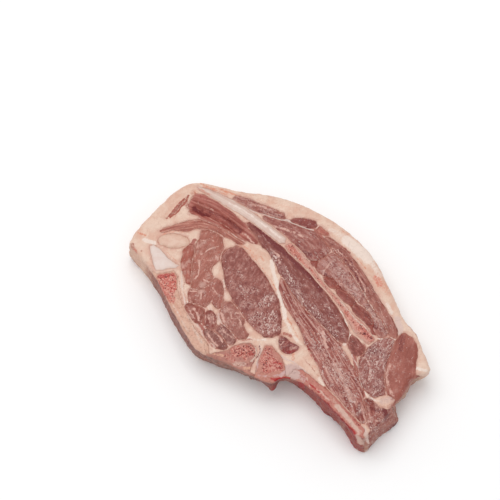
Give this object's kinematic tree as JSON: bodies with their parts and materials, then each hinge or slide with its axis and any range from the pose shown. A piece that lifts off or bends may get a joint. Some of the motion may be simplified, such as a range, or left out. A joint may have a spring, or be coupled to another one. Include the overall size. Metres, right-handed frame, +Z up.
{
  "type": "raw lamb chop",
  "caption": "Raw lamb shoulder chop, sawn across the blade: a flat slab of red muscles and sawn bones set in pale fat, thick over the back and tapering to the rib end.",
  "frame": {"origin": "centre of the chop's box in plan, on the surface that the chop lies on", "axes": "+Z up through the slab's thickness, out of the cut face that shows; +X towards the shank corner; +Y towards the fat over the back"},
  "size_m": [0.1658, 0.1555, 0.0197],
  "materials": {
    "fat": "cream to peach fat, slightly waxy, moist",
    "meat": "raw lean meat, dull brownish red with pale flecks, moist",
    "bone": "sawn bone with red marrow in a pale rim",
    "cartilage": "white cartilage, smooth and moist",
    "ligament": "cream elastic ligament"
  },
  "bodies": {
    "root": {"arch_bone": "bone", "blade_bone": "bone", "blade_cartilage": "cartilage", "blade_end": "meat", "blade_side_1": "meat", "blade_side_2": "meat", "blade_side_3": "meat", "body_bone": "bone", "cap_sliver": "meat", "cap_strip": "meat", "cap_wedge": "meat", "corner": "meat", "eye": "meat", "fat": "fat", "feather_bone": "bone", "flap": "meat", "neck_left": "meat", "neck_ligament": "ligament", "neck_low": "meat", "neck_main": "meat", "rib": "bone", "serratus": "meat", "shoulder_lower": "meat", "shoulder_outer": "meat", "shoulder_upper": "meat", "small_muscle": "meat", "spine_cartilage": "cartilage", "splinter_1": "meat", "splinter_2": "meat", "splinter_3": "meat", "splinter_4": "meat", "strap": "meat", "triceps": "meat", "under_blade": "meat", "wedge_lower": "meat", "wedge_upper": "meat"}
  },
  "joints": []
}
